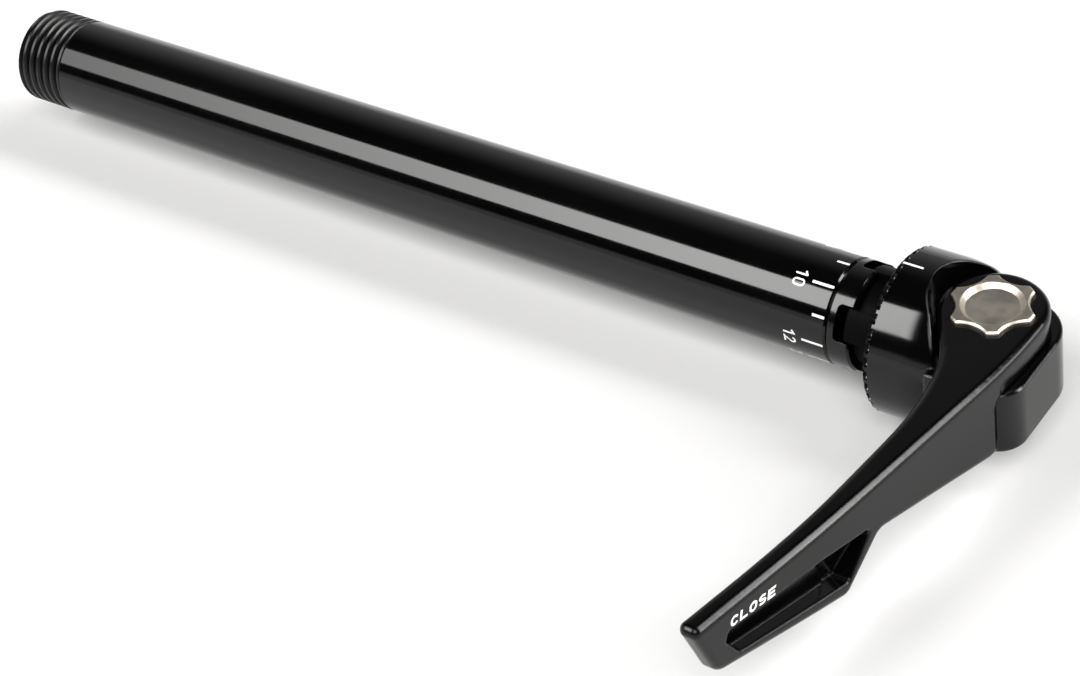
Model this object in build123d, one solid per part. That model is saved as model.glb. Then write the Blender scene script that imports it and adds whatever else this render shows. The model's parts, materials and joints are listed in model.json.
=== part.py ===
"""Bicycle thru axle, 15 mm, with an indexed quick-release cam lever.

Frame, in millimetres: the origin is the centre of the head's clamp face, on the axle's axis.
+X runs outboard towards the lever, +Z is the cam shaft's axis, and the closed lever points to -Y.
"""
import os
from math import cos, radians, sin

from build123d import *

# Axle tube
AXLE_D = 15.0
AXLE_BORE_D = 11.0
AXLE_REACH = 158.0          # clamp face to the far tip
THREAD_LENGTH = 9.0
THREAD_ROOT_D = 13.2        # root of the M15 x 1.5 thread
THREAD_RUN = 0.4            # cone from the root up to the full diameter
TIP_CHAMFER = 0.3
SEAM_SETBACK = 7.8          # clamp face to the seam between tube and collar
TUBE_EDGE = 0.3             # chamfer of the tube at the seam
PRESS_GAP = 0.02            # radial room left in fixed seats

# Index collar
COLLAR_D = 14.9
COLLAR_RING = 1.2           # closed part of the ring
COLLAR_EDGE = 0.3
NOTCH_DEPTH = 2.3
NOTCH_COUNT = 4
NOTCH_ANGLE = 40.0
NOTCH_PHASE = 61.0          # first notch, degrees from +Y towards +Z
NOTCH_CORNER = 0.7
COLLAR_SPIGOT = 7.2
COLLAR_STOP_D = 8.0         # nose inside the spring that stops the rod's nut
COLLAR_STOP = 11.0
GUIDE_D = 8.8               # sleeve spigot that slides in the collar
GUIDE_GAP = 0.05
GUIDE_DEPTH = 6.0

# Dog sleeve
SLEEVE_D = 13.4
SLEEVE_SEAT = 4.0
NECK_D = 12.4
DOG_D = 14.4
DOG_ENGAGED = 0.8
DOG_SIDE_GAP = 1.5          # degrees each side
NECK_CLEAR = 0.2
GUIDE_END_GAP = 0.9
O_RING_CORD = 0.86
O_RING_ROOM = 1.3           # groove's width, in cords
O_RING_SET_BACK = 1.6       # guide end to the middle of the ring

# Draw rod and return spring
ROD_D = 5.5
ROD_BORE_D = 6.0
ROD_THREAD_D = 5.0
INDEX_TRAVEL = 2.0
STOP_SPARE = 0.5            # nut to stop when the head is pulled right out
WASHER_D = 10.4
WASHER_THICK = 1.0
NUT_FLATS = 8.0
NUT_HEIGHT = 5.0
NUT_COLLAR = 1.4            # round locking collar at the end of the nut
NUT_COLLAR_STEP = 0.4       # flats to the collar's side
ROD_TAIL = 1.2
SPRING_WIRE = 1.0
SPRING_MEAN_D = 9.4
SPRING_TURNS = 6.0

# Clamp head
RIM_R = 10.95
HEAD_R = 11.45
RIM_CHAMFER = 0.5
HEAD_LAND = 5.0             # full-radius band behind the rim
CROWN_DROP = 0.35           # fall of the crown's radius up to its rounded end
HEAD_LENGTH = 10.4
HEAD_ROUND = 1.2            # rounded outer edge of the crown
FACE_INNER_R = 7.7
FACE_RELIEF = 0.6
SCALLOP_COUNT = 36
SCALLOP_R = 0.75
SCALLOP_DEPTH = 0.6
SCALLOP_REACH = 0.9         # clamp face to the scallops' end

# Cam housing, the block at the head's outer end
PIVOT_X = 13.3
HOUSING_REACH = 8.3         # cam shaft axis to the outer face
HOUSING_TOP = 4.5
HOUSING_BOTTOM = -5.2
HOUSING_PLUS_Y = 7.9
HOUSING_MINUS_Y = 11.4
HOUSING_ROUND = 6.6
HOUSING_CORNER = 4.0
HOUSING_EDGE = 0.4
EAR_ROOM = 0.8              # head's pocket to the lever's ear, all round
CAVITY_HALF_Y = 6.2
CAVITY_HALF_Z = 2.8
CAVITY_END_WALL = 1.6

# Cam shaft and its bearings
ECCENTRIC_OFFSET = 0.8
ECCENTRIC_R = 3.4
LEVER_OPEN_ANGLE = 135.0
UPPER_JOURNAL_R = 4.3
LOWER_JOURNAL_R = 2.5
JOURNAL_GAP = 0.05
UPPER_BUSH_WALL = 0.9
LOWER_BUSH_WALL = 0.75
LOWER_BUSH_LENGTH = 1.1
SHAFT_AXIAL_GAP = 0.1
SHAFT_END = -4.9
CLIP_THICK = 0.45
CLIP_GROOVE_DEPTH = 0.4
CLIP_R = 3.5
CLIP_MOUTH = 70.0           # degrees of the clip's opening
SHAFT_WASHER_R = 3.8
SHAFT_WASHER_THICK = 0.2
CLIP_WELL_R = 4.1
LOBE_COUNT = 6
LOBE_TIP_R = 5.8
LOBE_WAIST_R = 4.7
LOBE_SCALLOP_R = 4.0
LOBE_CORNER = 0.3
LOBE_HEAD_TOP = 9.2
LOBE_HEAD_DEPTH = 3.0
LOBE_EDGE = 0.25
LOBE_RECESS_R = 3.5         # floor of the dished recess
LOBE_RECESS_RIM_R = 4.2
LOBE_RECESS_DEPTH = 0.6
LOBE_GAP = 0.06
LOBE_PHASE = 57.0           # degrees, first lobe from +X towards +Y

# Cam yoke
YOKE_HALF_Y = 5.6
YOKE_HALF_Z = 2.5
YOKE_GAP = 0.12             # slot to eccentric, each side
YOKE_INNER_X = 5.9
YOKE_THREAD_D = 5.0

# Thrust washer between housing and ear
THRUST_THICK = 0.3
THRUST_GAP = 0.05
THRUST_R = 6.5
THRUST_INNER_R = 5.3

# Lever
EAR_R = 7.3
EAR_TOP = 8.6
CROTCH_R = 13.5
CROTCH_FILLET = 1.8
OUTER_CURVE = [(18.3, -20.4), (14.6, -42.2)]
OUTER_END = (9.3, -67.5)
INNER_CURVE = [(13.0, -19.0), (12.6, -30.0), (11.3, -42.2), (9.6, -52.0)]
INNER_END = (6.3, -67.5)
INNER_TANGENT = 213.0       # degrees, where the arm's inner side leaves the ear's circle
INNER_STRAIGHT = 6.0
TIP_SLOPE = 0.21            # x over y of both sides at the tip
ARM_ROOT = (-13.0, -4.5)    # side outline of the arm, as (y, z)
ARM_WAIST = (-34.3, 0.35)
ARM_HEEL = (-40.7, -5.55)
ARM_TOE = (-62.6, -0.5)
ARM_TIP_Y = -65.6
WAIST_ROUND = 1.6
HEEL_ROUND = 1.8
TOE_ROUND = 2.0
TIP_ROUND = 1.0
LEVER_EDGE = 1.0
POCKET_OUTLINE = [(-36.0, 2.2), (-45.0, 3.7), (-60.2, 4.8), (-60.8, 3.4), (-59.0, 0.3), (-40.6, -3.3)]
POCKET_CORNER = 0.6
POCKET_DEPTH = 0.7          # at the pocket's upper edge
POCKET_TILT = 12.0          # degrees, the floor falls away towards the lower edge
POCKET_EDGE = 0.35
WELL_OUTLINE = [(-36.0, 2.2), (-45.0, 3.7), (-42.6, -2.9), (-40.6, -3.3)]
WELL_STEP = 0.35            # further drop at the pocket's inner end

# Places worked out from the sizes above
SEAM_X = -SEAM_SETBACK
TIP_X = -AXLE_REACH
NOTCH_FLOOR_X = SEAM_X + COLLAR_RING
COLLAR_END_X = NOTCH_FLOOR_X + NOTCH_DEPTH
SPIGOT_END_X = SEAM_X - COLLAR_SPIGOT
STOP_END_X = SPIGOT_END_X - COLLAR_STOP
GUIDE_FLOOR_X = COLLAR_END_X - GUIDE_DEPTH
GUIDE_END_X = GUIDE_FLOOR_X + GUIDE_END_GAP
DOG_END_X = COLLAR_END_X - DOG_ENGAGED
NECK_END_X = COLLAR_END_X + NECK_CLEAR
WASHER_X = STOP_END_X - INDEX_TRAVEL - STOP_SPARE
NUT_X = WASHER_X - WASHER_THICK
ROD_END_X = NUT_X - NUT_HEIGHT - ROD_TAIL
HOUSING_X = PIVOT_X + HOUSING_REACH
CAVITY_END_X = HOUSING_X - CAVITY_END_WALL
EAR_BOTTOM = HOUSING_TOP + THRUST_THICK + THRUST_GAP
LOBE_HEAD_BOTTOM = LOBE_HEAD_TOP - LOBE_HEAD_DEPTH
ECCENTRIC_START = (180.0 - LEVER_OPEN_ANGLE) / 2
CAM_X = ECCENTRIC_OFFSET * cos(radians(ECCENTRIC_START))
CAM_Y_LOW = ECCENTRIC_OFFSET * sin(radians(ECCENTRIC_START))
CAM_LIFT = 2 * CAM_X
PIVOT = Pos(PIVOT_X, 0, 0)
ON_BASE = (Align.CENTER, Align.CENTER, Align.MIN)


def turned(*points):
    """Solid of revolution about the axle's axis, from (x, radius) points."""
    return revolve(make_face(Polyline(*points, close=True)), Axis.X)


def barrel(radius, x0, x1):
    """Round bar along the axle's axis."""
    return Pos(x0, 0, 0) * Rot(0, 90, 0) * Cylinder(radius, x1 - x0, align=ON_BASE)


def post(radius, z0, z1):
    """Round bar along the cam shaft's axis."""
    return PIVOT * Pos(0, 0, z0) * Cylinder(radius, z1 - z0, align=ON_BASE)


def tube_of(outer_r, inner_r, x0, x1):
    """Plain ring along the axle's axis."""
    return barrel(outer_r, x0, x1) - barrel(inner_r, x0, x1)


def ring_of(outer_r, inner_r, z0, z1):
    """Plain ring along the cam shaft's axis."""
    return post(outer_r, z0, z1) - post(inner_r, z0, z1)


def sector(radius, x0, x1, middle, width):
    """Wedge about the axle's axis, with its middle at an angle from +Y towards +Z."""
    half = width / 2
    wedge = Polyline((0, 0), polar(radius, -half), polar(radius, half), close=True)
    block = extrude(Plane.YZ * make_face(wedge), x1 - x0)
    return Rot(middle, 0, 0) * Pos(x0, 0, 0) * block


def axle_tube():
    """Hollow tube with a plain root where the thread is, and a chamfered tip."""
    outer = AXLE_D / 2
    root = THREAD_ROOT_D / 2
    bore = AXLE_BORE_D / 2
    thread_x = TIP_X + THREAD_LENGTH
    return turned(
        (TIP_X, bore),
        (TIP_X, root - TIP_CHAMFER),
        (TIP_X + TIP_CHAMFER, root),
        (thread_x, root),
        (thread_x + THREAD_RUN, outer),
        (SEAM_X - TUBE_EDGE, outer),
        (SEAM_X, outer - TUBE_EDGE),
        (SEAM_X, bore),
    )


def index_collar():
    """Castellated ring with a spigot in the tube and a nose that stops the rod's nut."""
    outer = COLLAR_D / 2
    spigot = AXLE_BORE_D / 2 - PRESS_GAP
    guide = GUIDE_D / 2 + GUIDE_GAP
    hole = ROD_BORE_D / 2
    body = turned(
        (STOP_END_X, hole),
        (STOP_END_X, COLLAR_STOP_D / 2),
        (SPIGOT_END_X, COLLAR_STOP_D / 2),
        (SPIGOT_END_X, spigot),
        (SEAM_X, spigot),
        (SEAM_X, outer - COLLAR_EDGE),
        (SEAM_X + COLLAR_EDGE, outer),
        (COLLAR_END_X - COLLAR_EDGE, outer),
        (COLLAR_END_X, outer - COLLAR_EDGE),
        (COLLAR_END_X, guide),
        (GUIDE_FLOOR_X, guide),
        (GUIDE_FLOOR_X, hole),
    )
    half = outer * sin(radians(NOTCH_ANGLE / 2))
    profile = RectangleRounded(2 * NOTCH_DEPTH, 2 * half, NOTCH_CORNER)
    cutter = extrude(Pos(COLLAR_END_X, 0, 0) * profile, AXLE_D)
    for i in range(NOTCH_COUNT):
        body -= Rot(NOTCH_PHASE - 90 + i * 360 / NOTCH_COUNT, 0, 0) * cutter
    return body


def dog_sleeve():
    """Sleeve seated in the head, with a guide spigot and dogs that stand in the collar's notches."""
    guide = GUIDE_D / 2
    hole = ROD_BORE_D / 2
    seat = SLEEVE_D / 2 - PRESS_GAP
    groove_floor = guide + GUIDE_GAP - O_RING_CORD - 2 * PRESS_GAP
    groove_half = O_RING_ROOM * O_RING_CORD / 2
    groove_x = GUIDE_END_X + O_RING_SET_BACK
    body = turned(
        (GUIDE_END_X, hole),
        (GUIDE_END_X, guide),
        (groove_x - groove_half, guide),
        (groove_x - groove_half, groove_floor),
        (groove_x + groove_half, groove_floor),
        (groove_x + groove_half, guide),
        (NECK_END_X, guide),
        (NECK_END_X, NECK_D / 2),
        (0, NECK_D / 2),
        (0, seat),
        (SLEEVE_SEAT, seat),
        (SLEEVE_SEAT, hole),
    )
    dog_ring = tube_of(DOG_D / 2, guide - PRESS_GAP, DOG_END_X, 0)
    width = NOTCH_ANGLE - 2 * DOG_SIDE_GAP
    for i in range(NOTCH_COUNT):
        body += dog_ring & sector(AXLE_D, DOG_END_X, 0, NOTCH_PHASE + i * 360 / NOTCH_COUNT, width)
    return body


def neck_o_ring():
    """Seal in the sleeve's groove."""
    ring_r = GUIDE_D / 2 + GUIDE_GAP - O_RING_CORD / 2 - PRESS_GAP
    return Pos(GUIDE_END_X + O_RING_SET_BACK, 0, 0) * Rot(0, 90, 0) * Torus(ring_r, O_RING_CORD / 2)


def housing_outline():
    """Plan of the cam housing: round behind the shaft, flush with the closed lever in front."""
    inner_x = HEAD_LENGTH - HEAD_ROUND
    plan = make_face(Polyline(
        (inner_x, -HOUSING_MINUS_Y),
        (HOUSING_X, -HOUSING_MINUS_Y),
        (HOUSING_X, HOUSING_PLUS_Y),
        (inner_x, HOUSING_PLUS_Y),
        close=True,
    ))
    corners = plan.vertices().sort_by(Axis.X)[-2:].sort_by(Axis.Y)
    plan = fillet(corners[0], HOUSING_CORNER)
    far_corner = plan.vertices().sort_by(Axis.Y)[-2:].sort_by(Axis.X)[-1]
    return fillet(far_corner, HOUSING_ROUND)


def clamp_head():
    """Round head with a scalloped rim, and the cam housing at its outer end."""
    land_end = (RIM_CHAMFER + HEAD_LAND, HEAD_R)
    turn = (HEAD_LENGTH - HEAD_ROUND, HEAD_R - CROWN_DROP)
    end = (HEAD_LENGTH, turn[1] - HEAD_ROUND)
    crown = TangentArc(land_end, turn, tangent=(1, 0))
    profile = make_face([
        Polyline((0, 0), (0, RIM_R), (RIM_CHAMFER, HEAD_R), land_end),
        crown,
        TangentArc(turn, end, tangent=crown % 1),
        Polyline(end, (HEAD_LENGTH, 0), (0, 0)),
    ])
    head = revolve(profile, Axis.X)
    scallop = barrel(SCALLOP_R, -1, SCALLOP_REACH)
    scallop = Pos(0, 0, HEAD_R + SCALLOP_R - SCALLOP_DEPTH) * scallop
    step = 360 / SCALLOP_COUNT
    head -= [Rot((i + 0.5) * step, 0, 0) * scallop for i in range(SCALLOP_COUNT)]
    head -= ear_pocket()
    housing = Pos(0, 0, HOUSING_BOTTOM) * extrude(housing_outline(), HOUSING_TOP - HOUSING_BOTTOM)
    rim_edges = housing.edges().group_by(Axis.Z)
    housing = fillet(
        [e for e in rim_edges[0] + rim_edges[-1] if e.center().X > HEAD_LENGTH],
        HOUSING_EDGE,
    )
    head += housing
    head -= barrel(SLEEVE_D / 2, -1, SLEEVE_SEAT)
    head -= barrel(FACE_INNER_R, -1, FACE_RELIEF)
    head -= cavity()
    head -= post(UPPER_JOURNAL_R + JOURNAL_GAP + UPPER_BUSH_WALL, 0, HOUSING_TOP + 1)
    head -= post(LOWER_JOURNAL_R + JOURNAL_GAP + LOWER_BUSH_WALL, HOUSING_BOTTOM - 1, 0)
    head -= post(CLIP_WELL_R, HOUSING_BOTTOM - 1, -CAVITY_HALF_Z - LOWER_BUSH_LENGTH)
    return head


def ear_pocket():
    """Room in the head for the lever's ear, and for the arm where it leaves the ear."""
    reach = EAR_R + EAR_ROOM
    start = polar(reach, INNER_TANGENT)
    along = polar(2 * HEAD_R, INNER_TANGENT + 90)
    across = polar(2 * reach, INNER_TANGENT + 180)
    corners = [
        start,
        (start[0] + along[0], start[1] + along[1]),
        (start[0] + along[0] + across[0], start[1] + along[1] + across[1]),
        (start[0] + across[0], start[1] + across[1]),
    ]
    plan = Circle(reach) + make_face(Polyline(*corners, close=True))
    return PIVOT * Pos(0, 0, HOUSING_TOP) * extrude(plan, HEAD_R)


def cavity():
    """Room for the yoke, open towards the sleeve's seat."""
    middle_x = CAVITY_END_X - CAVITY_HALF_Y
    straight = Rectangle(middle_x - SLEEVE_SEAT, 2 * CAVITY_HALF_Y)
    plan = Pos((SLEEVE_SEAT + middle_x) / 2, 0, 0) * straight
    plan += Pos(middle_x, 0, 0) * Circle(CAVITY_HALF_Y)
    return Pos(0, 0, -CAVITY_HALF_Z) * extrude(plan, 2 * CAVITY_HALF_Z)


def upper_bushing():
    """Bearing for the shaft's upper journal."""
    inner = UPPER_JOURNAL_R + JOURNAL_GAP
    return ring_of(inner + UPPER_BUSH_WALL - PRESS_GAP, inner, CAVITY_HALF_Z, HOUSING_TOP)


def lower_bushing():
    """Bearing for the shaft's lower journal."""
    inner = LOWER_JOURNAL_R + JOURNAL_GAP
    floor = -CAVITY_HALF_Z - LOWER_BUSH_LENGTH
    return ring_of(inner + LOWER_BUSH_WALL - PRESS_GAP, inner, floor, -CAVITY_HALF_Z)


def thrust_washer():
    """Thin ring the lever's ear turns on."""
    return ring_of(THRUST_R, THRUST_INNER_R, HOUSING_TOP, HOUSING_TOP + THRUST_THICK)


def lobed_outline(grow):
    """Six-lobed outline of the shaft's head, grown all round by the given amount."""
    plan = Circle(LOBE_TIP_R + grow)
    reach = LOBE_WAIST_R + LOBE_SCALLOP_R
    for i in range(LOBE_COUNT):
        place = polar(reach, LOBE_PHASE + (i + 0.5) * 360 / LOBE_COUNT)
        plan -= Pos(*place) * Circle(LOBE_SCALLOP_R - grow)
    return fillet(plan.vertices(), LOBE_CORNER)


def polar(radius, angle):
    """Point at a radius and an angle in degrees."""
    return (radius * cos(radians(angle)), radius * sin(radians(angle)))


def cam_shaft():
    """Shaft with a lobed head keyed in the ear, an eccentric for the yoke, and two journals."""
    head = PIVOT * Pos(0, 0, LOBE_HEAD_BOTTOM) * extrude(lobed_outline(0), LOBE_HEAD_DEPTH)
    head = chamfer(head.edges().group_by(Axis.Z)[-1], LOBE_EDGE)
    dish = Cone(LOBE_RECESS_R, LOBE_RECESS_RIM_R, LOBE_RECESS_DEPTH, align=ON_BASE)
    head -= PIVOT * Pos(0, 0, LOBE_HEAD_TOP - LOBE_RECESS_DEPTH) * dish
    cam_half = CAVITY_HALF_Z - SHAFT_AXIAL_GAP
    shaft = head + post(UPPER_JOURNAL_R, cam_half, LOBE_HEAD_BOTTOM)
    shaft += Pos(CAM_X, CAM_Y_LOW, 0) * post(ECCENTRIC_R, -cam_half, cam_half)
    shaft += post(LOWER_JOURNAL_R, SHAFT_END, -cam_half)
    top, bottom = clip_span()
    return shaft - ring_of(LOWER_JOURNAL_R + 1, LOWER_JOURNAL_R - CLIP_GROOVE_DEPTH, bottom, top)


def clip_span():
    """Top and bottom of the clip's groove."""
    top = -CAVITY_HALF_Z - LOWER_BUSH_LENGTH - SHAFT_WASHER_THICK - THRUST_GAP
    return top, top - CLIP_THICK


def shaft_washer():
    """Washer between the lower bushing and the clip."""
    top = -CAVITY_HALF_Z - LOWER_BUSH_LENGTH
    return ring_of(SHAFT_WASHER_R, LOWER_JOURNAL_R + JOURNAL_GAP, top - SHAFT_WASHER_THICK, top)


def shaft_circlip():
    """Open ring snapped into the shaft's groove."""
    top, bottom = clip_span()
    inner = LOWER_JOURNAL_R - CLIP_GROOVE_DEPTH + PRESS_GAP
    clip = ring_of(CLIP_R, inner, bottom + PRESS_GAP, top - PRESS_GAP)
    reach = 2 * CLIP_R
    half = CLIP_MOUTH / 2
    mouth = make_face(Polyline((0, 0), polar(reach, -half), polar(reach, half), close=True))
    return clip - PIVOT * Pos(0, 0, bottom) * extrude(mouth, CLIP_THICK)


def cam_yoke():
    """Block on the rod's end with a slot around the eccentric."""
    outer_x = PIVOT_X + CAM_X
    straight = Rectangle(outer_x - YOKE_INNER_X, 2 * YOKE_HALF_Y)
    plan = Pos((YOKE_INNER_X + outer_x) / 2, 0, 0) * straight
    plan += Pos(outer_x, 0, 0) * Circle(YOKE_HALF_Y)
    slot_r = ECCENTRIC_R + YOKE_GAP
    span = ECCENTRIC_OFFSET - CAM_Y_LOW
    slot = SlotCenterToCenter(span, 2 * slot_r, rotation=90)
    plan -= Pos(outer_x, (ECCENTRIC_OFFSET + CAM_Y_LOW) / 2, 0) * slot
    block = Pos(0, 0, -YOKE_HALF_Z) * extrude(plan, 2 * YOKE_HALF_Z)
    return block - barrel(YOKE_THREAD_D / 2 + PRESS_GAP, YOKE_INNER_X - 1, PIVOT_X)


def draw_rod():
    """Rod from the yoke to the spring washer, with reduced threaded ends."""
    slot_x = PIVOT_X + CAM_X - ECCENTRIC_R - YOKE_GAP
    head_end = slot_x - YOKE_GAP
    return turned(
        (ROD_END_X, 0),
        (ROD_END_X, ROD_THREAD_D / 2),
        (WASHER_X, ROD_THREAD_D / 2),
        (WASHER_X, ROD_D / 2),
        (YOKE_INNER_X, ROD_D / 2),
        (YOKE_INNER_X, YOKE_THREAD_D / 2),
        (head_end, YOKE_THREAD_D / 2),
        (head_end, 0),
    )


def spring_washer():
    """Washer that carries the return spring on the rod."""
    return tube_of(WASHER_D / 2, ROD_THREAD_D / 2 + PRESS_GAP, NUT_X, WASHER_X)


def rod_nut():
    """Hexagon nut with a round locking collar."""
    end_x = NUT_X - NUT_HEIGHT
    flats_x = end_x + NUT_COLLAR
    hexagon = RegularPolygon(NUT_FLATS / 2, 6, major_radius=False)
    body = Pos(flats_x, 0, 0) * extrude(Plane.YZ * hexagon, NUT_X - flats_x)
    body += barrel(NUT_FLATS / 2 - NUT_COLLAR_STEP, end_x, flats_x)
    return body - barrel(ROD_THREAD_D / 2 + PRESS_GAP, end_x - 1, NUT_X + 1)


def return_spring():
    """Compression spring between the collar's spigot and the washer on the rod."""
    room = SPIGOT_END_X - WASHER_X
    height = room - SPRING_WIRE - 2 * PRESS_GAP
    path = Helix(height / SPRING_TURNS, height, SPRING_MEAN_D / 2)
    section = Plane(origin=path @ 0, z_dir=path % 0) * Circle(SPRING_WIRE / 2)
    coil = sweep(section, path=path)
    return Pos(WASHER_X + SPRING_WIRE / 2 + PRESS_GAP, 0, 0) * Rot(0, 90, 0) * coil


def lever_plan():
    """Plan of the lever: the ear's circle, then the arm's outer and inner sides to the tip."""
    outer_x = PIVOT_X + EAR_R
    leave = polar(EAR_R, INNER_TANGENT)
    leave = (PIVOT_X + leave[0], leave[1])
    along = polar(1, INNER_TANGENT + 90)
    bend = (leave[0] + INNER_STRAIGHT * along[0], leave[1] + INNER_STRAIGHT * along[1])
    top = polar(EAR_R, INNER_TANGENT / 2)
    top = (PIVOT_X + top[0], top[1])
    outer_ends = ((0, -1), (-TIP_SLOPE, -1))
    inner_ends = ((TIP_SLOPE, 1), (-along[0], -along[1]))
    edges = [
        Spline((outer_x, 0), *OUTER_CURVE, OUTER_END, tangents=outer_ends),
        Line(OUTER_END, INNER_END),
        Spline(INNER_END, *reversed(INNER_CURVE), bend, tangents=inner_ends),
        Line(bend, leave),
        ThreePointArc(leave, top, (outer_x, 0)),
    ]
    return make_face(edges)


def lever_side():
    """Side outline of the lever, seen along the axle: straight top, waist, heel and slanted tip."""
    outline = make_face(Polyline(
        (EAR_R + 1, EAR_TOP),
        (EAR_R + 1, ARM_ROOT[1]),
        ARM_ROOT,
        ARM_WAIST,
        ARM_HEEL,
        ARM_TOE,
        (ARM_TIP_Y, EAR_TOP),
        close=True,
    ))
    outline = fillet(near(outline.vertices(), *ARM_WAIST), WAIST_ROUND)
    outline = fillet(near(outline.vertices(), *ARM_HEEL), HEEL_ROUND)
    outline = fillet(near(outline.vertices(), *ARM_TOE), TOE_ROUND)
    return fillet(near(outline.vertices(), ARM_TIP_Y, EAR_TOP), TIP_ROUND)


def near(vertices, a, b):
    """Vertex closest to a point of the sketch plane."""
    return vertices.sort_by_distance((a, b, 0))[0]


def on_side(sketch, x0, x1):
    """Extrude a sketch of (y, z) along X."""
    return Pos(x0, 0, 0) * extrude(Plane.YZ * sketch, x1 - x0)


def lever():
    """Lever: ear over the housing, arm that passes in front of it, paddle with a stepped pocket."""
    low = ARM_HEEL[1] - 1
    blank = Pos(0, 0, low) * extrude(lever_plan(), EAR_TOP - low)
    body = blank & on_side(lever_side(), 0, HOUSING_X + EAR_R)
    body = fillet(side_edges(body), LEVER_EDGE)
    body -= post(CROTCH_R, low, EAR_BOTTOM)
    body = fillet(crotch_edge(body), CROTCH_FILLET)
    body -= post(UPPER_JOURNAL_R + LOBE_GAP, EAR_BOTTOM - 1, EAR_TOP + 1)
    seat = extrude(lobed_outline(LOBE_GAP), LOBE_HEAD_DEPTH)
    body -= PIVOT * Pos(0, 0, LOBE_HEAD_BOTTOM - LOBE_GAP) * seat
    middle_x = OUTER_CURVE[-1][0]
    top_z = max(z for y, z in POCKET_OUTLINE)
    tilted = Pos(middle_x, 0, top_z) * Rot(0, POCKET_TILT, 0) * Pos(-middle_x, 0, -top_z) * blank
    floor = Pos(-POCKET_DEPTH, 0, 0) * tilted
    body -= on_side(rounded(POCKET_OUTLINE, POCKET_CORNER), 0, HOUSING_X) - floor
    body = fillet(pocket_rim(body), POCKET_EDGE)
    well = on_side(rounded(WELL_OUTLINE, POCKET_CORNER), 0, HOUSING_X)
    return body - ((well & tilted) - Pos(-WELL_STEP, 0, 0) * floor)


def pocket_rim(body):
    """Edges where the pocket opens in the arm's outer side."""
    openings = [wire for face in body.faces() for wire in face.inner_wires()]
    return [edge for wire in openings if wire.center().Y < ARM_WAIST[0] for edge in wire.edges()]


def rounded(points, radius):
    """Face of a closed outline with all its corners rounded."""
    face = make_face(Polyline(*points, close=True))
    return fillet(face.vertices(), radius)


def crotch_edge(body):
    """Inside corner where the crotch wall meets the ear's underside."""
    rounds = body.edges().filter_by(GeomType.CIRCLE)
    level = rounds.filter_by_position(Axis.Z, EAR_BOTTOM - 0.01, EAR_BOTTOM + 0.01)
    return [e for e in level if abs(e.radius - CROTCH_R) < 0.01]


def side_edges(body):
    """Edges round the lever's outer and inner sides, without the ones that cross from side to side."""
    def crosses(edge):
        span = edge.bounding_box().size
        return span.X > 2 * LEVER_EDGE and span.Y < LEVER_EDGE / 5

    return [edge for edge in body.edges() if not crosses(edge)]


def build():
    """Every piece by its node name."""
    return {
        "axle_tube": axle_tube(),
        "index_collar": index_collar(),
        "dog_sleeve": dog_sleeve(),
        "neck_o_ring": neck_o_ring(),
        "clamp_head": clamp_head(),
        "upper_bushing": upper_bushing(),
        "lower_bushing": lower_bushing(),
        "thrust_washer": thrust_washer(),
        "cam_shaft": cam_shaft(),
        "shaft_washer": shaft_washer(),
        "shaft_circlip": shaft_circlip(),
        "lever": lever(),
        "cam_yoke": cam_yoke(),
        "draw_rod": draw_rod(),
        "spring_washer": spring_washer(),
        "rod_nut": rod_nut(),
        "return_spring": return_spring(),
    }


os.makedirs("parts", exist_ok=True)
for name, solid in build().items():
    export_step(solid, f"parts/{name}.step")
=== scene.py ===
"""Looks of a bicycle thru axle with a cam lever: finishes, thread, marks, spring, floor, light and camera.

Everything is in metres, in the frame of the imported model: the origin is the centre of the head's clamp face,
+X runs outboard along the axle, +Z is the cam shaft's axis, and the closed lever points to -Y.
"""
import json
from math import cos, pi, radians, sin, tan

import bmesh
import bpy
from mathutils import Matrix, Vector
from mathutils.bvhtree import BVHTree


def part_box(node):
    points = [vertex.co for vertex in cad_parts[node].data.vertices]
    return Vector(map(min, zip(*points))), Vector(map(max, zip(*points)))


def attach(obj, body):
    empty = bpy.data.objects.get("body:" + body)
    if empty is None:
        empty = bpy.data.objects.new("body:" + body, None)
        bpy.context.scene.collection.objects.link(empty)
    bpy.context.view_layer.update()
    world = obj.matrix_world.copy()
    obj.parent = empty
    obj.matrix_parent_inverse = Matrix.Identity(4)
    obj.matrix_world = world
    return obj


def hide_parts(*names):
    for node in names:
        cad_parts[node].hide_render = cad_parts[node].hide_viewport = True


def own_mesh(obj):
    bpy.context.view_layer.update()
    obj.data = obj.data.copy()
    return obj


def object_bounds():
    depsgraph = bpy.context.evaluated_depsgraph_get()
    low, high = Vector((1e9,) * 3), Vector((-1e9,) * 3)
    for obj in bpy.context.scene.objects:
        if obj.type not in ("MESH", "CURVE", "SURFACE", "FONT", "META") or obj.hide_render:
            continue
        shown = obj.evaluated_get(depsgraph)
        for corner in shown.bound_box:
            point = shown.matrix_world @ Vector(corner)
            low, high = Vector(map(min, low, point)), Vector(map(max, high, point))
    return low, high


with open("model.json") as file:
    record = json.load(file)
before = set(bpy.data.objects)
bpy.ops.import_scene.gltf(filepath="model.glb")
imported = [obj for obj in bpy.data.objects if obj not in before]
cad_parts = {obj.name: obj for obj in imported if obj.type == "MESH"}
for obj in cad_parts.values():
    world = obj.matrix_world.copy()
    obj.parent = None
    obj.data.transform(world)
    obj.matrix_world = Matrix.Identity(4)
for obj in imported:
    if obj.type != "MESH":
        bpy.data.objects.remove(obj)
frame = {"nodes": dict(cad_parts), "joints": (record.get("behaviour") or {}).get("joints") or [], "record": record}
cad_low, cad_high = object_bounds()

MM = 0.001
MOUNTS = {mount["name"]: mount for mount in frame["record"]["mounts"]}
JOINTS = {joint["name"]: joint for joint in frame["joints"]}

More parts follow.
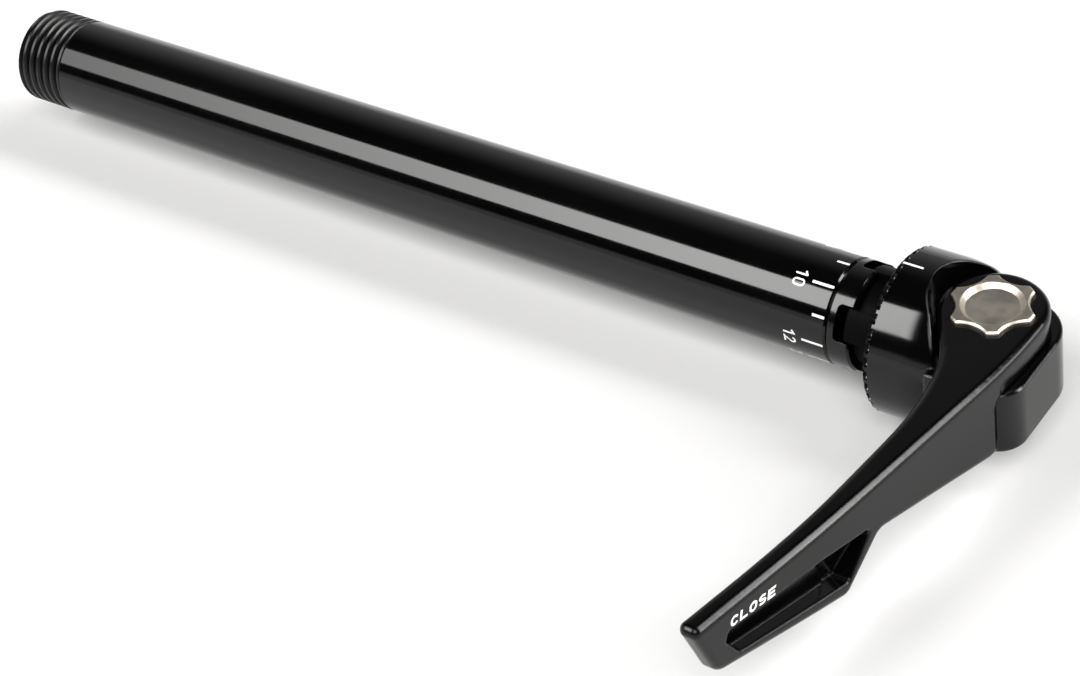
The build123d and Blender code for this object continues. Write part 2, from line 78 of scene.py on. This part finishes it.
# Places and sizes read from the frame
TUBE_R = MOUNTS["axle_shaft"]["dims"]["r_mm"] * MM
ROOT_R = MOUNTS["thread_tip"]["dims"]["r_mm"] * MM
TIP_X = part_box("axle_tube")[0].x
TUBE_END_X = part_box("axle_tube")[1].x
PIVOT = Vector(JOINTS["lever_swing"]["pos_m"])

# Finishes
BLACK = (0.0008, 0.0008, 0.0009)
BLACK_LIGHT = (0.0014, 0.0013, 0.0013)
CLOUD_SPREAD = (0.3, 0.7)          # values of the noise between which colour and roughness change
GRAIN_SPREAD = (0.35, 0.65)
GRAIN_DETAIL = 5.0
BEVEL_SAMPLES = 6
RIM_X = (0.45 * MM, 0.62 * MM)     # end of the head's dull rim
RIM_ROUGH = 0.55
RIM_SHINE = 0.05
CROWN_X = (4.6 * MM, 6.0 * MM)     # start of the head's rounder outer end
CROWN_EDGE = 0.6 * MM

# Thread on the tube's tip, M15 x 1.5
PITCH = 1.5 * MM
THREAD_END = 9.4 * MM              # tip to the ridge's last point, inside the tube
CREST_DROP = 0.02 * MM             # how far the crest stays under the tube's surface
CREST_R = TUBE_R - CREST_DROP
CREST_FLAT = 0.42 * MM
LEAD_IN = 0.3 * MM                 # chamfer of the ridge at the tip's end
FLANK = radians(30)
THREAD_SINK = 0.12 * MM            # how far the ridge's foot stands in the root
TIP_CHAMFER = 0.3 * MM             # of the root, at the tip
STEPS_PER_TURN = 96
SHARP_FROM = radians(40)           # turn between two faces that leaves their edge sharp

# Printed marks
INK_PROUD = 0.002 * MM
INK_SUNK = 0.03 * MM
RAY_LEAD = 1 * MM                  # how far outside a solid the rays start that find its surface
BAR_STRIPS = 4                     # strips across the width of a straight mark
DIAL_POSITIONS = 11
DIAL_FIRST, DIAL_LAST = 2, 12
DIAL_KNOWN = 10                    # the number whose place is given
DIAL_KNOWN_AT = radians(117.4)     # from +Y towards +Z
TICK_END_X = TUBE_END_X - 0.32 * MM
TICK_LONG = 3.26 * MM
TICK_SHORT = 1.83 * MM
TICK_WIDE = 0.38 * MM
DIGIT_X = TUBE_END_X - 6.35 * MM
DIGIT_HIGH = 1.85 * MM
DIGIT_WIDE = 1.12 * MM
DIGIT_STROKE = 0.27 * MM
DIGIT_GAP = 0.2 * MM
DIGIT_SLICE = 0.15 * MM            # between the cuts that let a mark bend
INDEX_FROM_X, INDEX_TO_X = 0.3 * MM, 3.5 * MM
INDEX_WIDE = 0.34 * MM
INDEX_SLICE = 0.25 * MM
WORD = "CLOSE"
WORD_FROM = Vector((-60.1, 5.22)) * MM    # start of the letters' foot on the lever's outer side, as (y, z)
WORD_TO = Vector((-52.8, 4.68)) * MM      # end of the letters' foot
WORD_HIGH = 1.5 * MM
WORD_STROKE = 0.34 * MM
WORD_GAP = 0.26 * MM
WORD_LEAN = 0.16
WORD_SLICE = 0.3 * MM

# Shapes of the characters, in degrees and in shares of a character's width or height
ARC_STEP = 12
RING_END = 360 - ARC_STEP          # last point of a ring, which then closes
OPEN_END = 25                      # how far from level a round stroke ends
TWO_START = 165
STEM_SHIFT = 0.1                   # of the upright in 1 and 4
FLAG_DROP = 0.22                   # of the short stroke in 1
FOUR_BAR = 0.33                    # height of the level stroke in 4
NARROWER = 0.9                     # upper ring of 8, middle stroke of E
MITRE_LEAST = 0.5                  # keeps the corner of a sharp bend short

# Floor
FLOOR_GAP = 0.02 * MM              # from the part's lowest point to the floor
FLOOR_Z = cad_low.z - FLOOR_GAP
FLOOR_REACH = 60.0

# Camera, worked out from the photograph, as a position, an aim and a roll
CAMERA_AT = Vector((0.137482, -0.223614, 0.226772))
CAMERA_AIM = Vector((-0.041912, -0.024485, 0.001683))
CAMERA_ROLL = radians(-10.7)
SENSOR = 36.0                      # sensor and lens are in millimetres
PHOTO_FOCAL = 2600                 # focal length and width of the photograph, in pixels
PHOTO_WIDE = 1080
LENS = SENSOR * PHOTO_FOCAL / PHOTO_WIDE
CLIP_NEAR, CLIP_FAR = 0.01, 200

# Studio light, painted on the sky: strips along the axle, a low panel, and pale walls low down and behind.
# A strip's place across the axle is y over z of its direction, and its place along the axle x over z.
LIGHT_COLOUR = (1, 0.995, 0.985, 1)
KEY_LIGHT = 13.5
KEY_ACROSS = (-1.54, -0.354)
KEY_SOFT = 0.03
KEY_LEFT = (-0.9, -0.8)            # x of the direction where the key starts
KEY_RIGHT = (-0.4, -0.28)          # and where it ends
KEY_DIM = 0.3                      # share of the key's light at its dim end
KEY_DIM_X = (-0.69, -0.47)         # x of the direction where the key is dim, and where it is full
EDGE_LIGHT = 15.0
EDGE_NEAR, EDGE_NEAR_TURN = 0.33, 0.1     # place across where x is 0, and its change along the axle
EDGE_FAR, EDGE_FAR_TURN = 0.53, 0.27
EDGE_ALONG = (0.33, 6.0)
EDGE_SOFT = 0.08
LOW_LIGHT = 12.0
LOW_HEIGHT = (0.14, 0.38)          # height of the direction
LOW_TURN = (0.3, 1.0)              # y over x of the direction
LOW_SOFT = 0.05
FILL_LIGHT = 8.0
FILL_ACROSS = (-1.3, -0.35)
FILL_ALONG = (0.05, 0.9)
FILL_SOFT = 0.12
WALL_LIGHT = 0.85
WALL_FULL, WALL_NONE = 0.1, 0.18   # height of the direction where the low wall ends
BACK_LIGHT = 0.5
BACK_NONE, BACK_FULL = 0.5, 1.0    # how squarely a direction looks at the wall behind
DARK = 0.015                       # light all over the sky
LEAST = 0.001                      # least number that a direction is divided by


def link(tree, source, target):
    tree.links.new(source, target)


def add(tree, kind, **inputs):
    """New node of a kind, with the given values on its inputs. Spaces in input names are underscores."""
    node = tree.nodes.new("ShaderNode" + kind)
    for name, value in inputs.items():
        node.inputs[name.replace("_", " ")].default_value = value
    return node


def maths(tree, operation, first, second):
    """One step of arithmetic with sockets or plain floats."""
    node = add(tree, "Math")
    node.operation = operation
    for socket, value in zip(node.inputs, (first, second)):
        if isinstance(value, float):
            socket.default_value = value
        else:
            link(tree, value, socket)
    return node.outputs["Value"]


def vector_maths(tree, operation, vector, constant=(0, 0, 0)):
    """Outputs of one step of arithmetic with a vector socket and a constant vector."""
    node = add(tree, "VectorMath")
    node.operation = operation
    node.inputs[1].default_value = constant
    link(tree, vector, node.inputs[0])
    return node.outputs


def ramp(tree, source, low, high, to_low, to_high, shape="SMOOTHSTEP"):
    """Map a value from one range to another, clamped."""
    node = add(tree, "MapRange", From_Min=low, From_Max=high, To_Min=to_low, To_Max=to_high)
    node.interpolation_type = shape
    link(tree, source, node.inputs["Value"])
    return node.outputs["Result"]


def blend_colours(tree, factor, first, second):
    """Colour that goes from the first to the second as the factor goes from 0 to 1."""
    node = add(tree, "Mix")
    node.data_type = "RGBA"
    ends = {socket.name: socket for socket in node.inputs if socket.type == "RGBA"}
    ends["A"].default_value = (*first, 1)
    ends["B"].default_value = (*second, 1)
    link(tree, factor, node.inputs["Factor"])
    return [socket for socket in node.outputs if socket.type == "RGBA"][0]


def own_coordinates(tree, scale, origin=(0, 0, 0)):
    """Coordinates that stay on the piece, in metres times a scale for each axis, from an origin."""
    place = add(tree, "TexCoord").outputs["Object"]
    from_origin = vector_maths(tree, "SUBTRACT", place, origin)["Vector"]
    return vector_maths(tree, "MULTIPLY", from_origin, scale)["Vector"]


def turned(along, around):
    """Pattern of a piece turned about the axle, in counts per metre along it and round it."""
    return lambda tree: own_coordinates(tree, (along, around, around))


def evenly(count):
    """Pattern that is alike along each axis, in counts per metre."""
    return lambda tree: own_coordinates(tree, (count, count, count))


def ringed(outwards, upwards):
    """Pattern of a piece turned about the cam shaft's axis, in counts per metre away from it and along it."""

    def coordinates(tree):
        split = add(tree, "SeparateXYZ")
        link(tree, own_coordinates(tree, (1, 1, 1), PIVOT), split.inputs[0])
        flat = add(tree, "CombineXYZ")
        link(tree, split.outputs["X"], flat.inputs["X"])
        link(tree, split.outputs["Y"], flat.inputs["Y"])
        rings = add(tree, "CombineXYZ")
        link(tree, vector_maths(tree, "LENGTH", flat.outputs[0])["Value"], rings.inputs["X"])
        link(tree, split.outputs["Z"], rings.inputs["Y"])
        return vector_maths(tree, "MULTIPLY", rings.outputs[0], (outwards, upwards, 0))["Vector"]

    return coordinates


def noise(tree, coordinates, detail=3.0, roughness=0.55):
    node = add(tree, "TexNoise", Scale=1.0, Detail=detail, Roughness=roughness)
    link(tree, coordinates, node.inputs["Vector"])
    return node.outputs["Fac"]


def along_axle(tree, low, high, to_low, to_high):
    """Value that changes along the axle, over a stretch of x."""
    split = add(tree, "SeparateXYZ")
    link(tree, own_coordinates(tree, (1, 1, 1)), split.inputs[0])
    return ramp(tree, split.outputs["X"], low, high, to_low, to_high)


def surface(name, dark, light, rough, grain, cloud, depth, edge, metallic=0.0, shine=0.5):
    """Finish with cloudy colour and roughness, a fine grain in its relief, and slightly broken edges.

    rough is the least and the most that the clouds give and how much the grain adds or takes. grain and cloud
    are patterns, depth is the grain's relief and edge the edges' radius.
    """
    material = bpy.data.materials.new(name)
    material.use_nodes = True
    tree = material.node_tree
    inputs = tree.nodes["Principled BSDF"].inputs
    inputs["Metallic"].default_value = metallic
    inputs["Specular IOR Level"].default_value = shine
    clouds = noise(tree, cloud(tree))
    fine = noise(tree, grain(tree), detail=GRAIN_DETAIL)
    colour = blend_colours(tree, ramp(tree, clouds, *CLOUD_SPREAD, 0, 1), dark, light)
    link(tree, colour, inputs["Base Color"])
    smooth, dull, change = rough
    clouded = ramp(tree, clouds, *CLOUD_SPREAD, smooth, dull)
    grained = ramp(tree, fine, *GRAIN_SPREAD, -change, change)
    link(tree, maths(tree, "ADD", clouded, grained), inputs["Roughness"])
    soft = add(tree, "Bevel", Radius=edge)
    soft.samples = BEVEL_SAMPLES
    relief = add(tree, "Bump", Strength=1.0, Distance=depth)
    link(tree, fine, relief.inputs["Height"])
    link(tree, soft.outputs[0], relief.inputs["Normal"])
    link(tree, relief.outputs[0], inputs["Normal"])
    return material


def dull_the_rim(material):
    """Leave the head's scalloped rim duller than the rest, and round the edges at its outer end more."""
    tree = material.node_tree
    inputs = tree.nodes["Principled BSDF"].inputs
    blend = add(tree, "Mix", B=RIM_ROUGH)
    link(tree, along_axle(tree, *RIM_X, 1, 0), blend.inputs["Factor"])
    link(tree, inputs["Roughness"].links[0].from_socket, blend.inputs["A"])
    link(tree, blend.outputs["Result"], inputs["Roughness"])
    shine = inputs["Specular IOR Level"]
    link(tree, along_axle(tree, *RIM_X, RIM_SHINE, shine.default_value), shine)
    radius = tree.nodes["Bevel"].inputs["Radius"]
    link(tree, along_axle(tree, *CROWN_X, radius.default_value, CROWN_EDGE), radius)


def finishes():
    """Material of every solid, by node name."""
    tube = surface(
        "tube_anodise", BLACK, BLACK_LIGHT, rough=(0.07, 0.1, 0.015), grain=turned(5200, 60),
        cloud=turned(45, 140), depth=0.0005 * MM, edge=0.06 * MM, shine=0.35,
    )
    collar = surface(
        "collar_anodise", BLACK, BLACK_LIGHT, rough=(0.1, 0.15, 0.02), grain=turned(6500, 60),
        cloud=evenly(160), depth=0.0008 * MM, edge=0.12 * MM, shine=0.35,
    )
    head = surface(
        "head_anodise", BLACK, BLACK_LIGHT, rough=(0.07, 0.11, 0.015), grain=turned(5200, 60),
        cloud=evenly(130), depth=0.0005 * MM, edge=0.06 * MM, shine=0.35,
    )
    dull_the_rim(head)
    lever = surface(
        "lever_anodise", BLACK, BLACK_LIGHT, rough=(0.12, 0.17, 0.015), grain=evenly(2600),
        cloud=evenly(110), depth=0.001 * MM, edge=0.5 * MM, shine=0.25,
    )
    nickel = surface(
        "satin_nickel", (0.46, 0.42, 0.365), (0.53, 0.485, 0.42), rough=(0.36, 0.46, 0.05),
        grain=ringed(9000, 5000), cloud=evenly(420), depth=0.0018 * MM, edge=0.12 * MM, metallic=1.0,
    )
    oxide = surface(
        "dark_oxide", BLACK, BLACK_LIGHT, rough=(0.5, 0.6, 0.04), grain=turned(5200, 80),
        cloud=evenly(200), depth=0.001 * MM, edge=0.12 * MM, shine=0.04,
    )
    steel = surface(
        "machined_steel", (0.36, 0.36, 0.37), (0.46, 0.46, 0.46), rough=(0.24, 0.34, 0.05),
        grain=turned(5200, 80), cloud=evenly(220), depth=0.0012 * MM, edge=0.1 * MM, metallic=1.0,
    )
    zinc = surface(
        "zinc_plate", (0.46, 0.47, 0.48), (0.58, 0.58, 0.57), rough=(0.26, 0.38, 0.04),
        grain=evenly(1600), cloud=evenly(300), depth=0.001 * MM, edge=0.12 * MM, metallic=1.0,
    )
    wire = surface(
        "spring_wire", (0.3, 0.3, 0.31), (0.4, 0.4, 0.41), rough=(0.22, 0.3, 0.05),
        grain=evenly(900), cloud=evenly(300), depth=0.001 * MM, edge=0.05 * MM, metallic=1.0,
    )
    bronze = surface(
        "sintered_bronze", (0.33, 0.19, 0.075), (0.46, 0.29, 0.13), rough=(0.36, 0.5, 0.06),
        grain=evenly(6000), cloud=evenly(500), depth=0.003 * MM, edge=0.08 * MM, metallic=1.0,
    )
    polymer = surface(
        "bearing_polymer", (0.012, 0.012, 0.012), (0.022, 0.021, 0.02), rough=(0.4, 0.52, 0.05),
        grain=evenly(3000), cloud=evenly(300), depth=0.002 * MM, edge=0.05 * MM,
    )
    blued = surface(
        "blued_steel", (0.05, 0.052, 0.06), (0.09, 0.09, 0.1), rough=(0.28, 0.4, 0.05),
        grain=evenly(2600), cloud=evenly(300), depth=0.001 * MM, edge=0.06 * MM, metallic=1.0,
    )
    rubber = surface(
        "nitrile_rubber", (0.006, 0.006, 0.006), (0.012, 0.012, 0.012), rough=(0.48, 0.6, 0.05),
        grain=evenly(2600), cloud=evenly(300), depth=0.002 * MM, edge=0.03 * MM,
    )
    return {
        "axle_tube": tube,
        "index_collar": collar,
        "clamp_head": head,
        "lever": lever,
        "cam_shaft": nickel,
        "dog_sleeve": oxide,
        "cam_yoke": steel,
        "draw_rod": steel,
        "spring_washer": zinc,
        "shaft_washer": zinc,
        "rod_nut": zinc,
        "return_spring": wire,
        "upper_bushing": bronze,
        "lower_bushing": bronze,
        "thrust_washer": polymer,
        "shaft_circlip": blued,
        "neck_o_ring": rubber,
    }


def dress_solids(materials):
    for name, material in materials.items():
        mesh = frame["nodes"][name].data
        mesh.materials.clear()
        mesh.materials.append(material)


def new_piece(name, mesh, material, body):
    """Link a finished mesh as a piece that moves with a body."""
    piece = bpy.data.objects.new(name, mesh)
    bpy.context.scene.collection.objects.link(piece)
    mesh.materials.clear()
    mesh.materials.append(material)
    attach(piece, body)
    return piece


def mesh_from(name, build):
    """Mesh made by a bmesh, which is freed, with the faces turned outwards."""
    mesh = bpy.data.meshes.new(name)
    bmesh.ops.recalc_face_normals(build, faces=build.faces)
    build.to_mesh(mesh)
    build.free()
    return mesh


def round_the_axle(x, radius, angle):
    return Vector((x, radius * cos(angle), radius * sin(angle)))


def root_at(x):
    """Radius of the tip's plain root, with its chamfer."""
    return min(ROOT_R, ROOT_R - TIP_CHAMFER + x - TIP_X)


def ridge_section(x):
    """Points of the ridge's section as (x, radius), from foot to foot over the crest.

    The section is cut off at the tip's end.
    """
    half_crest = CREST_FLAT / 2
    half_foot = half_crest + (CREST_R - ROOT_R + THREAD_SINK) * tan(FLANK)
    points = []
    for offset in (-half_foot, -half_crest, half_crest, half_foot):
        place = max(x + offset, TIP_X)
        flank = CREST_R - max(0, abs(place - x) - half_crest) / tan(FLANK)
        lead = CREST_R - LEAD_IN + place - TIP_X
        low = root_at(place) - THREAD_SINK
        high = low if abs(offset) == half_foot else min(flank, lead)
        points.append((place, max(low, high)))
    return points


def thread_mesh():
    """Right-handed helical ridge on the tip's root, cut off at the tip's end and running into the tube."""
    build = bmesh.new()
    start = -CREST_FLAT / 2 - (CREST_R - ROOT_R) * tan(FLANK)
    turns = (THREAD_END - start) / PITCH
    steps = round(turns * STEPS_PER_TURN)
    rows = []
    for i in range(steps + 1):
        turn = turns * i / steps
        section = ridge_section(TIP_X + start + turn * PITCH)
        rows.append([build.verts.new(round_the_axle(x, r, 2 * pi * turn)) for x, r in section])
    for first, second in zip(rows, rows[1:]):
        for i in range(len(first)):
            j = (i + 1) % len(first)
            build.faces.new((first[i], first[j], second[j], second[i]))
    build.faces.new(rows[0])
    build.faces.new(reversed(rows[-1]))
    mesh = mesh_from("thread_ridge", build)
    mesh.shade_smooth()
    mesh.set_sharp_from_angle(angle=SHARP_FROM)
    return mesh


def arc(centre_x, centre_y, radius_x, radius_y, start, end):
    """Points of an arc from one angle to another, in degrees."""
    count = round(abs(end - start) / ARC_STEP)
    angles = [radians(start + (end - start) * i / count) for i in range(count + 1)]
    return [Vector((centre_x + radius_x * cos(a), centre_y + radius_y * sin(a))) for a in angles]


def character(name, wide, high, stroke):
    """Middle lines of a plain upright character, each with whether it closes on itself."""
    left = low = stroke / 2
    right = wide - stroke / 2
    top = high - stroke / 2
    middle = wide / 2
    half = high / 2
    bend = middle - left

    def at(x, y):
        return Vector((x, y))

    upper = (middle, top - bend, bend, bend)
    lower = (middle, low + bend, bend, bend)
    if name in "0O":
        return [(arc(*upper, 0, 180) + arc(*lower, 180, 360), True)]
    if name == "1":
        stem = middle + STEM_SHIFT * wide
        flag = [at(stem, top), at(left, top - FLAG_DROP * high)]
        return [([at(stem, 0), at(stem, high)], False), (flag, False)]
    if name == "2":
        return [(arc(*upper, TWO_START, -OPEN_END) + [at(left, low), at(wide, low)], False)]
    if name == "4":
        stem = right - STEM_SHIFT * wide
        level = FOUR_BAR * high
        hook = [at(stem, top), at(left, level), at(wide, level)]
        return [([at(stem, 0), at(stem, high)], False), (hook, False)]
    if name == "6":
        tail = [at(left, low + bend)] + arc(*upper, 180, OPEN_END)
        return [(arc(*lower, 0, RING_END), True), (tail, False)]
    if name == "8":
        reach = (half - low) / 2
        return [
            (arc(middle, low + reach, bend, reach, 0, RING_END), True),
            (arc(middle, top - reach, NARROWER * bend, reach, 0, RING_END), True),
        ]
    if name == "C":
        return [(arc(*upper, OPEN_END, 180) + arc(*lower, 180, 360 - OPEN_END), False)]
    if name == "L":
        return [([at(left, high), at(left, low), at(wide, low)], False)]
    if name == "S":
        reach = (top - low) / 4
        upper_bow = arc(middle, top - reach, bend, reach, OPEN_END, 270)
        lower_bow = arc(middle, low + reach, bend, reach, 90, OPEN_END - 180)
        return [(upper_bow + lower_bow[1:], False)]
    back = [at(wide, top), at(left, top), at(left, low), at(wide, low)]
    return [(back, False), ([at(left, half), at(NARROWER * wide, half)], False)]


def ink_line(build, points, wide, closed):
    """Flat strip of a width along a line, with mitred bends."""
    rows = []
    last = len(points) - 1
    for i, point in enumerate(points):
        before = points[i - 1] if i > 0 or closed else None
        after = points[(i + 1) % len(points)] if i < last or closed else None
        ways = [(b - a).normalized() for a, b in ((before, point), (point, after)) if a and b]
        way = sum(ways, Vector((0, 0))).normalized()
        side = Vector((-way.y, way.x)) * wide / 2 / max(MITRE_LEAST, way.dot(ways[0]))
        rows.append([build.verts.new((spot.x, spot.y, 0)) for spot in (point + side, point - side)])
    pairs = list(zip(rows, rows[1:])) + ([(rows[-1], rows[0])] if closed else [])
    for (a, b), (c, d) in pairs:
        build.faces.new((a, b, d, c))


def flat_word(text, high, wide, stroke, gap):
    """Flat characters in cells of a height and a width, with their foot on y = 0, and their whole length."""
    build = bmesh.new()
    for i, name in enumerate(text):
        shift = Vector((i * (wide + gap), 0))
        for points, closed in character(name, wide, high, stroke):
            ink_line(build, [point + shift for point in points], stroke, closed)
    return build, len(text) * (wide + gap) - gap


def bar(length, width):
    """Flat rectangle from x = 0 to length, centred on y = 0, cut into strips across its width."""
    build = bmesh.new()
    rows = []
    for i in range(BAR_STRIPS + 1):
        y = width * (i / BAR_STRIPS - 0.5)
        rows.append((build.verts.new((0, y, 0)), build.verts.new((length, y, 0))))
    for (a, b), (c, d) in zip(rows, rows[1:]):
        build.faces.new((a, b, d, c))
    return build


def slice_across(build, step, length):
    """Cut flat marks by lines across their length, so that they can bend."""
    count = int(length / step)
    for i in range(1, count + 1):
        everything = build.verts[:] + build.edges[:] + build.faces[:]
        bmesh.ops.bisect_plane(build, geom=everything, plane_co=(i * step, 0, 0), plane_no=(1, 0, 0))


def thicken(build, place):
    """Turn flat marks into thin closed ones, with place(x, y, lift) giving each point on the part."""
    flat = build.faces[:]
    for face in flat:
        if face.normal.z < 0:
            face.normal_flip()
    raised = bmesh.ops.extrude_face_region(build, geom=flat, use_keep_orig=True)
    top = {v for v in raised["geom"] if isinstance(v, bmesh.types.BMVert)}
    for vertex in build.verts:
        lift = INK_PROUD if vertex in top else -INK_SUNK
        vertex.co = place(vertex.co.x, vertex.co.y, lift)
    return build


def join(parts):
    """One bmesh from several, which are freed."""
    whole = bmesh.new()
    for part in parts:
        mesh = bpy.data.meshes.new("part")
        part.to_mesh(mesh)
        part.free()
        whole.from_mesh(mesh)
        bpy.data.meshes.remove(mesh)
    return whole


def dial_angle(number):
    return DIAL_KNOWN_AT + (number - DIAL_KNOWN) * 2 * pi / DIAL_POSITIONS


def dial_marks():
    """Ticks round the tube's end, long and numbered at even places."""
    parts = []
    for number in range(DIAL_FIRST, DIAL_LAST + 1):
        angle = dial_angle(number)
        even = number % 2 == 0
        length = TICK_LONG if even else TICK_SHORT

        def on_tube(x, y, lift):
            return round_the_axle(TICK_END_X - x, TUBE_R + lift, angle + y / TUBE_R)

        parts.append(thicken(bar(length, TICK_WIDE), on_tube))
        if even:
            word, wide = flat_word(str(number), DIGIT_HIGH, DIGIT_WIDE, DIGIT_STROKE, DIGIT_GAP)
            slice_across(word, DIGIT_SLICE, wide)

            def reading(x, y, lift):
                return round_the_axle(DIGIT_X + y, TUBE_R + lift, angle + (x - wide / 2) / TUBE_R)

            parts.append(thicken(word, reading))
    return mesh_from("dial_marks", join(parts))


def surface_finder(node):
    """Tree of a solid's surface, to set marks on it."""
    mesh = frame["nodes"][node].data
    return BVHTree.FromPolygons([v.co for v in mesh.vertices], [p.vertices for p in mesh.polygons])


def index_mark():
    """White line on top of the head, against which the dial is read."""
    tree = surface_finder("clamp_head")
    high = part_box("clamp_head")[1].z + RAY_LEAD
    length = INDEX_TO_X - INDEX_FROM_X
    strip = bar(length, INDEX_WIDE)
    slice_across(strip, INDEX_SLICE, length)

    def on_head(x, y, lift):
        spot = tree.ray_cast(Vector((INDEX_FROM_X + x, y, high)), Vector((0, 0, -1)))[0]
        return spot + Vector((0, 0, lift))

    return mesh_from("index_mark", thicken(strip, on_head))


def close_word():
    """The word on the lever's outer side, along the pocket's upper edge."""
    tree = surface_finder("lever")
    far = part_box("lever")[1].x + RAY_LEAD
    along = WORD_TO - WORD_FROM
    width = along.length
    along.normalize()
    up = Vector((-along.y, along.x))
    letter_wide = (width + WORD_GAP) / len(WORD) - WORD_GAP
    word = flat_word(WORD, WORD_HIGH, letter_wide, WORD_STROKE, WORD_GAP)[0]
    slice_across(word, WORD_SLICE, width)

    def on_lever(x, y, lift):
        spot = WORD_FROM + along * (x + WORD_LEAN * y) + up * y
        hit = tree.ray_cast(Vector((far, spot.x, spot.y)), Vector((-1, 0, 0)))[0]
        return hit + Vector((lift, 0, 0))

    return mesh_from("close_word", thicken(word, on_lever))


def make_thread():
    satin = surface(
        "thread_anodise", BLACK, BLACK_LIGHT, rough=(0.26, 0.34, 0.03), grain=turned(5200, 60),
        cloud=evenly(140), depth=0.0008 * MM, edge=0.1 * MM, shine=0.35,
    )
    new_piece("thread_ridge", thread_mesh(), satin, "axle")


def make_marks():
    ink = surface(
        "white_ink", (0.72, 0.72, 0.71), (0.8, 0.8, 0.79), rough=(0.34, 0.44, 0.04),
        grain=evenly(4000), cloud=evenly(700), depth=0.0008 * MM, edge=0.01 * MM,
    )
    new_piece("dial_marks", dial_marks(), ink, "axle")
    new_piece("index_mark", index_mark(), ink, "head")
    new_piece("close_word", close_word(), ink, "lever")


def make_spring(wire):
    """Coil that stands for the spring: a copy of the spring's solid that moves with the axle, with the solid
    itself hidden.
    """
    mesh = frame["nodes"]["return_spring"].data.copy()
    coil = new_piece("return_coil", mesh, wire, "axle")
    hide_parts("return_spring")
    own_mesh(coil)


def make_floor():
    """Plain pale sheet under the part, out to the horizon."""
    build = bmesh.new()
    bmesh.ops.create_grid(build, x_segments=1, y_segments=1, size=FLOOR_REACH)
    mesh = mesh_from("floor", build)
    floor = bpy.data.objects.new("floor", mesh)
    floor.location.z = FLOOR_Z
    bpy.context.scene.collection.objects.link(floor)
    pale = surface(
        "pale_floor", (0.59, 0.59, 0.59), (0.61, 0.61, 0.61), rough=(0.7, 0.8, 0.02),
        grain=evenly(300), cloud=evenly(2), depth=0.002 * MM, edge=0.01 * MM, shine=0.1,
    )
    mesh.materials.append(pale)


def make_light():
    """Sky with the studio's strips, panel and walls, each a share of light by its direction."""
    world = bpy.data.worlds.new("studio")
    bpy.context.scene.world = world
    world.use_nodes = True
    tree = world.node_tree
    direction = add(tree, "TexCoord").outputs["Generated"]

    def part_along(axis):
        return vector_maths(tree, "DOT_PRODUCT", direction, axis)["Value"]

    def divide(value, by):
        return maths(tree, "DIVIDE", value, maths(tree, "MAXIMUM", by, LEAST))

    def product(first, *others):
        for other in others:
            first = maths(tree, "MULTIPLY", first, other)
        return first

    def rise(value, place, soft):
        return ramp(tree, value, place - soft, place + soft, 0, 1)

    def fall(value, place, soft):
        return ramp(tree, value, place - soft, place + soft, 1, 0)

    def between(value, span, soft):
        return product(rise(value, span[0], soft), fall(value, span[1], soft))

    x = part_along((1, 0, 0))
    y = part_along((0, 1, 0))
    height = part_along((0, 0, 1))
    along = divide(x, height)
    across = divide(y, height)
    turn = divide(y, x)
    ahead = CAMERA_AIM - CAMERA_AT
    behind = part_along(Vector((ahead.x, ahead.y, 0)).normalized())

    key = product(
        between(across, KEY_ACROSS, KEY_SOFT),
        ramp(tree, x, *KEY_DIM_X, KEY_DIM, 1, "LINEAR"),
        ramp(tree, x, *KEY_LEFT, 0, 1),
        ramp(tree, x, *KEY_RIGHT, 1, 0),
        KEY_LIGHT,
    )
    edge = product(
        rise(maths(tree, "SUBTRACT", across, product(along, EDGE_NEAR_TURN)), EDGE_NEAR, EDGE_SOFT),
        fall(maths(tree, "SUBTRACT", across, product(along, EDGE_FAR_TURN)), EDGE_FAR, EDGE_SOFT),
        between(along, EDGE_ALONG, EDGE_SOFT),
        EDGE_LIGHT,
    )
    low = product(between(height, LOW_HEIGHT, LOW_SOFT), between(turn, LOW_TURN, LOW_SOFT), LOW_LIGHT)
    fill = product(between(across, FILL_ACROSS, FILL_SOFT), between(along, FILL_ALONG, FILL_SOFT), FILL_LIGHT)
    low_wall = product(ramp(tree, height, WALL_FULL, WALL_NONE, 1, 0), WALL_LIGHT)
    far_wall = product(ramp(tree, behind, BACK_NONE, BACK_FULL, 0, 1), BACK_LIGHT)
    light = maths(tree, "MAXIMUM", low_wall, far_wall)
    for share in (key, edge, low, fill, DARK):
        light = maths(tree, "ADD", light, share)
    sky = tree.nodes["Background"].inputs
    link(tree, light, sky["Strength"])
    sky["Color"].default_value = LIGHT_COLOUR


def make_camera():
    data = bpy.data.cameras.new("camera")
    data.sensor_fit = "HORIZONTAL"
    data.sensor_width = SENSOR
    data.lens = LENS
    data.clip_start = CLIP_NEAR
    data.clip_end = CLIP_FAR
    camera = bpy.data.objects.new("camera", data)
    bpy.context.scene.collection.objects.link(camera)
    aim = (CAMERA_AIM - CAMERA_AT).to_track_quat("-Z", "Y").to_matrix()
    turn = aim @ Matrix.Rotation(CAMERA_ROLL, 3, "Z")
    camera.matrix_world = Matrix.Translation(CAMERA_AT) @ turn.to_4x4()
    bpy.context.scene.camera = camera


materials = finishes()
dress_solids(materials)
make_thread()
make_marks()
make_spring(materials["return_spring"])
make_floor()
make_light()
make_camera()
bpy.context.scene.view_settings.view_transform = "Standard"
